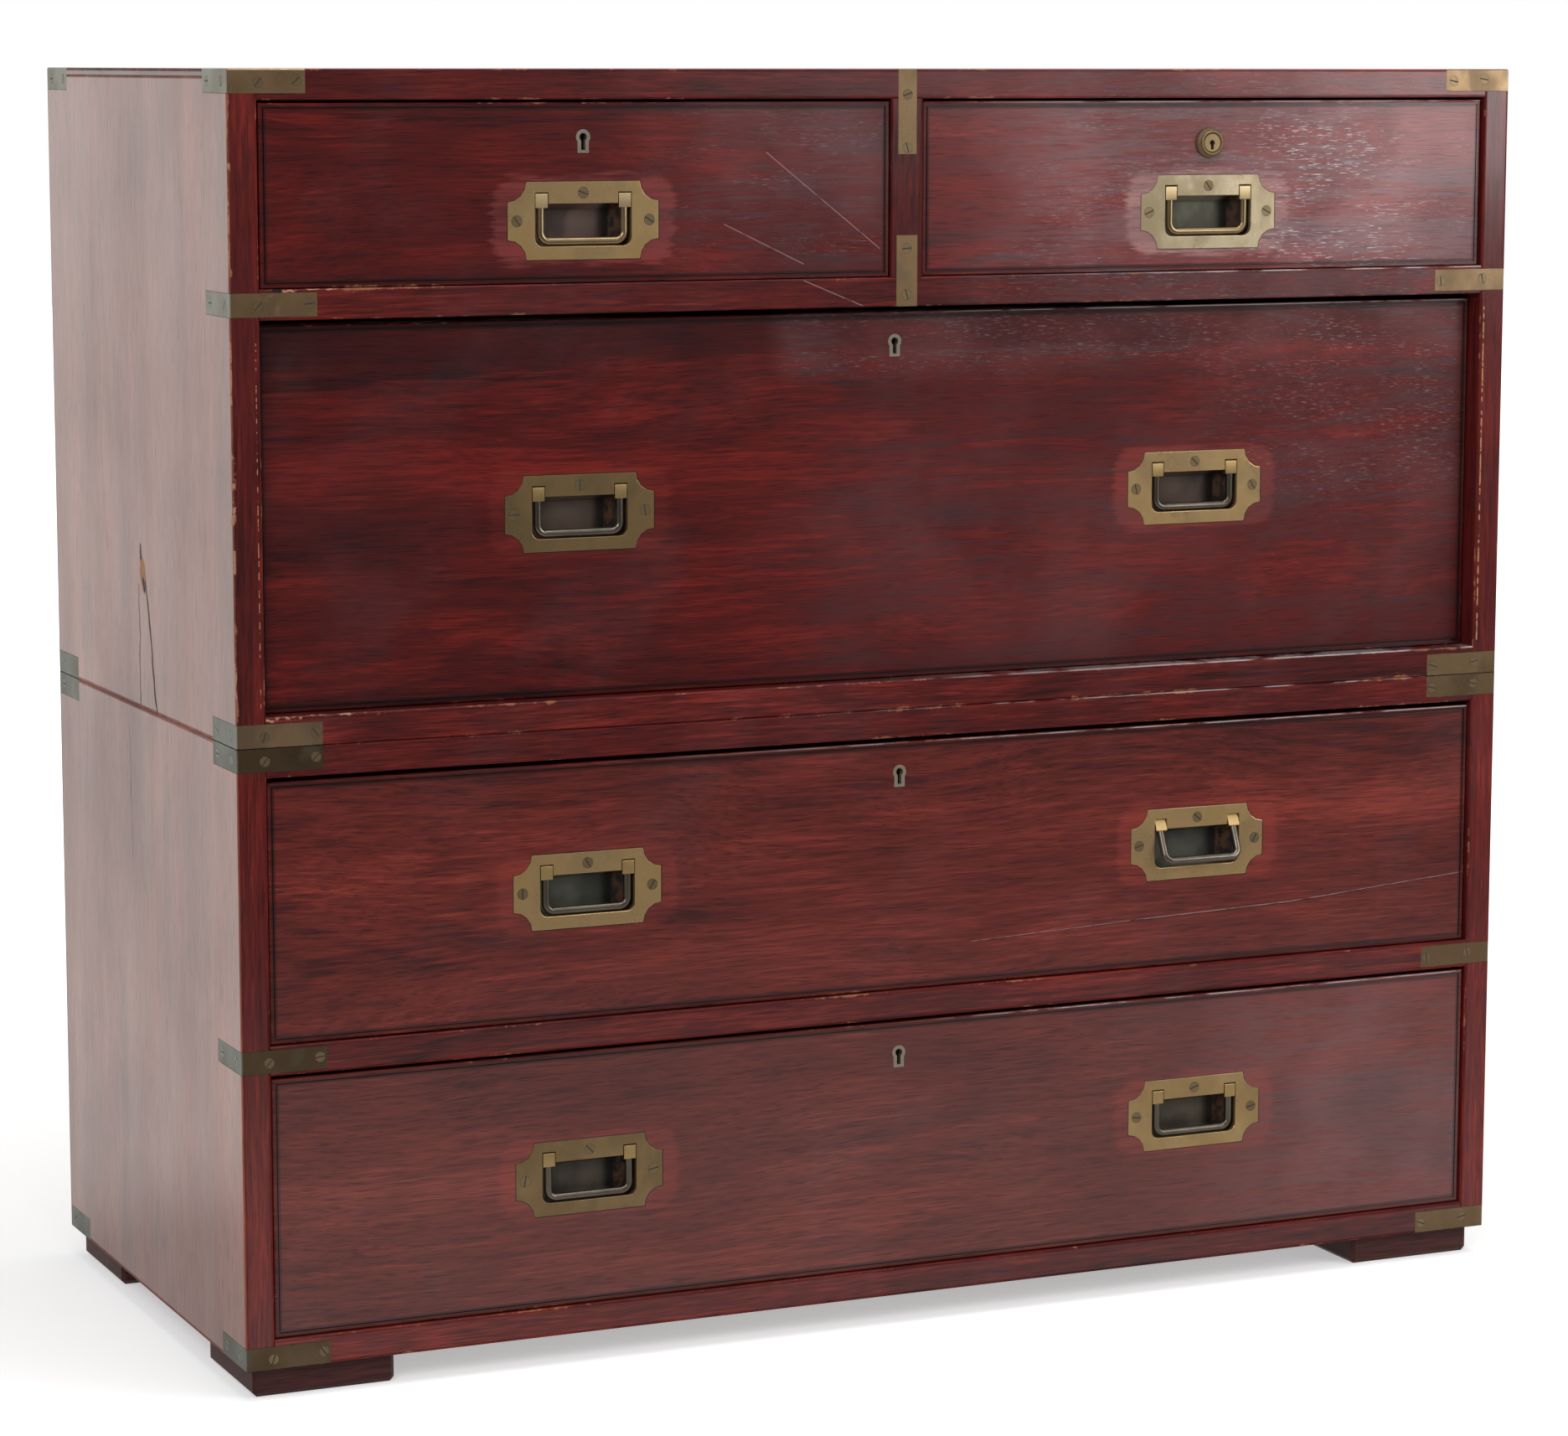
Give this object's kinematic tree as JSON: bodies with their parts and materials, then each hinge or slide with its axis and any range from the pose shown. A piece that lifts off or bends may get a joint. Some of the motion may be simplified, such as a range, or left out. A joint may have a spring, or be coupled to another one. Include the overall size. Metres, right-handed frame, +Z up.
{
  "type": "campaign chest of drawers",
  "caption": "Campaign chest in two stacking cases with flush brass corner straps, sunk bail pulls, dovetailed sliding drawers, lock bolts and low block feet.",
  "frame": {"origin": "on the floor, under the middle of the cases", "axes": "+X to the right along the front, -Y out of the front towards the user, +Z up"},
  "size_m": [1.016, 0.4618, 0.9248],
  "materials": {
    "case_wood": "waxed dark red mahogany",
    "drawer_front_wood": "waxed figured mahogany",
    "drawer_lining_wood": "unfinished",
    "inner_pine": "unfinished",
    "foot_wood": "dark, rubbed",
    "strap_brass": "dull, tarnished",
    "pull_brass": "dull, tarnished",
    "bail_brass": "rubbed bronze",
    "lock_brass": "satin",
    "bolt_steel": "dull"
  },
  "bodies": {
    "lower_case": {"lower_side_left": "case_wood", "lower_side_right": "case_wood", "lower_top_board": "case_wood", "lower_mid_rail": "case_wood", "lower_bottom_board": "case_wood", "lower_runners_and_stops": "inner_pine", "lower_back_boards": "inner_pine", "lower_corner_straps": "strap_brass", "block_feet": "foot_wood", "locating_pegs": "foot_wood"},
    "upper_case": {"upper_side_left": "case_wood", "upper_side_right": "case_wood", "top_board": "case_wood", "upper_mid_rail": "case_wood", "upper_bottom_board": "case_wood", "drawer_divider": "case_wood", "upper_runners_and_stops": "inner_pine", "upper_back_boards": "inner_pine", "upper_corner_straps": "strap_brass", "divider_plates": "strap_brass"},
    "top_left_drawer": {"top_left_drawer_front": "drawer_front_wood", "top_left_drawer_box": "drawer_lining_wood", "top_left_drawer_bottom": "drawer_lining_wood", "top_left_drawer_pull_plates": "pull_brass", "top_left_drawer_lock": "lock_brass"},
    "top_left_drawer_bail": {"top_left_drawer_bail": "bail_brass"},
    "top_left_drawer_bolt": {"top_left_drawer_bolt": "bolt_steel"},
    "top_right_drawer": {"top_right_drawer_front": "drawer_front_wood", "top_right_drawer_box": "drawer_lining_wood", "top_right_drawer_bottom": "drawer_lining_wood", "top_right_drawer_pull_plates": "pull_brass", "top_right_drawer_lock": "lock_brass"},
    "top_right_drawer_bail": {"top_right_drawer_bail": "bail_brass"},
    "top_right_drawer_bolt": {"top_right_drawer_bolt": "bolt_steel"},
    "deep_drawer": {"deep_drawer_front": "drawer_front_wood", "deep_drawer_box": "drawer_lining_wood", "deep_drawer_bottom": "drawer_lining_wood", "deep_drawer_pull_plates": "pull_brass", "deep_drawer_lock": "lock_brass"},
    "deep_drawer_bail_left": {"deep_drawer_bail_left": "bail_brass"},
    "deep_drawer_bail_right": {"deep_drawer_bail_right": "bail_brass"},
    "deep_drawer_bolt": {"deep_drawer_bolt": "bolt_steel"},
    "middle_drawer": {"middle_drawer_front": "drawer_front_wood", "middle_drawer_box": "drawer_lining_wood", "middle_drawer_bottom": "drawer_lining_wood", "middle_drawer_pull_plates": "pull_brass", "middle_drawer_lock": "lock_brass"},
    "middle_drawer_bail_left": {"middle_drawer_bail_left": "bail_brass"},
    "middle_drawer_bail_right": {"middle_drawer_bail_right": "bail_brass"},
    "middle_drawer_bolt": {"middle_drawer_bolt": "bolt_steel"},
    "bottom_drawer": {"bottom_drawer_front": "drawer_front_wood", "bottom_drawer_box": "drawer_lining_wood", "bottom_drawer_bottom": "drawer_lining_wood", "bottom_drawer_pull_plates": "pull_brass", "bottom_drawer_lock": "lock_brass"},
    "bottom_drawer_bail_left": {"bottom_drawer_bail_left": "bail_brass"},
    "bottom_drawer_bail_right": {"bottom_drawer_bail_right": "bail_brass"},
    "bottom_drawer_bolt": {"bottom_drawer_bolt": "bolt_steel"},
    "top_right_drawer_lock_plug": {"top_right_drawer_lock_plug": "lock_brass"}
  },
  "joints": [
    {"name": "upper_case_lift", "type": "slide", "parent": "lower_case", "child": "upper_case", "axis": [0, 0, 1], "range_m": [0, 0.06]},
    {"name": "top_left_drawer_slide", "type": "slide", "parent": "upper_case", "child": "top_left_drawer", "axis": [0, -1, 0], "range_m": [0, 0.32]},
    {"name": "top_left_drawer_bail_hinge", "type": "hinge", "parent": "top_left_drawer", "child": "top_left_drawer_bail", "pos_m": [-0.24988, -0.2217, 0.83385], "axis": [-1, 0, 0], "range_deg": [0, 90]},
    {"name": "top_left_drawer_bolt_slide", "type": "slide", "parent": "top_left_drawer", "child": "top_left_drawer_bolt", "axis": [0, 0, 1], "range_m": [0, 0.009]},
    {"name": "top_right_drawer_slide", "type": "slide", "parent": "upper_case", "child": "top_right_drawer", "axis": [0, -1, 0], "range_m": [0, 0.32]},
    {"name": "top_right_drawer_bail_hinge", "type": "hinge", "parent": "top_right_drawer", "child": "top_right_drawer_bail", "pos_m": [0.24988, -0.219, 0.83385], "axis": [-1, 0, 0], "range_deg": [0, 90]},
    {"name": "top_right_drawer_bolt_slide", "type": "slide", "parent": "top_right_drawer", "child": "top_right_drawer_bolt", "axis": [0, 0, 1], "range_m": [0, 0.009]},
    {"name": "deep_drawer_slide", "type": "slide", "parent": "upper_case", "child": "deep_drawer", "axis": [0, -1, 0], "range_m": [0, 0.32]},
    {"name": "deep_drawer_bail_left_hinge", "type": "hinge", "parent": "deep_drawer", "child": "deep_drawer_bail_left", "pos_m": [-0.248, -0.2075, 0.6281], "axis": [-1, 0, 0], "range_deg": [0, 90]},
    {"name": "deep_drawer_bail_right_hinge", "type": "hinge", "parent": "deep_drawer", "child": "deep_drawer_bail_right", "pos_m": [0.248, -0.2075, 0.6281], "axis": [-1, 0, 0], "range_deg": [0, 90]},
    {"name": "deep_drawer_bolt_slide", "type": "slide", "parent": "deep_drawer", "child": "deep_drawer_bolt", "axis": [0, 0, 1], "range_m": [0, 0.009]},
    {"name": "middle_drawer_slide", "type": "slide", "parent": "lower_case", "child": "middle_drawer", "axis": [0, -1, 0], "range_m": [0, 0.32]},
    {"name": "middle_drawer_bail_left_hinge", "type": "hinge", "parent": "middle_drawer", "child": "middle_drawer_bail_left", "pos_m": [-0.248, -0.219, 0.35955], "axis": [-1, 0, 0], "range_deg": [0, 90]},
    {"name": "middle_drawer_bail_right_hinge", "type": "hinge", "parent": "middle_drawer", "child": "middle_drawer_bail_right", "pos_m": [0.248, -0.219, 0.35955], "axis": [-1, 0, 0], "range_deg": [-26, 64]},
    {"name": "middle_drawer_bolt_slide", "type": "slide", "parent": "middle_drawer", "child": "middle_drawer_bolt", "axis": [0, 0, 1], "range_m": [0, 0.009]},
    {"name": "bottom_drawer_slide", "type": "slide", "parent": "lower_case", "child": "bottom_drawer", "axis": [0, -1, 0], "range_m": [0, 0.32]},
    {"name": "bottom_drawer_bail_left_hinge", "type": "hinge", "parent": "bottom_drawer", "child": "bottom_drawer_bail_left", "pos_m": [-0.248, -0.22, 0.15105], "axis": [-1, 0, 0], "range_deg": [0, 90]},
    {"name": "bottom_drawer_bail_right_hinge", "type": "hinge", "parent": "bottom_drawer", "child": "bottom_drawer_bail_right", "pos_m": [0.248, -0.22, 0.15105], "axis": [-1, 0, 0], "range_deg": [0, 90]},
    {"name": "bottom_drawer_bolt_slide", "type": "slide", "parent": "bottom_drawer", "child": "bottom_drawer_bolt", "axis": [0, 0, 1], "range_m": [0, 0.009]},
    {"name": "top_right_drawer_lock_plug_turn", "type": "hinge", "parent": "top_right_drawer", "child": "top_right_drawer_lock_plug", "pos_m": [0.24988, -0.223, 0.8708], "axis": [0, 1, 0], "range_deg": [0, 90]}
  ],
  "couplings": [
    {"joint": "top_right_drawer_bolt_slide", "follows": "top_right_drawer_lock_plug_turn", "m_per_rad": 0.0057}
  ]
}
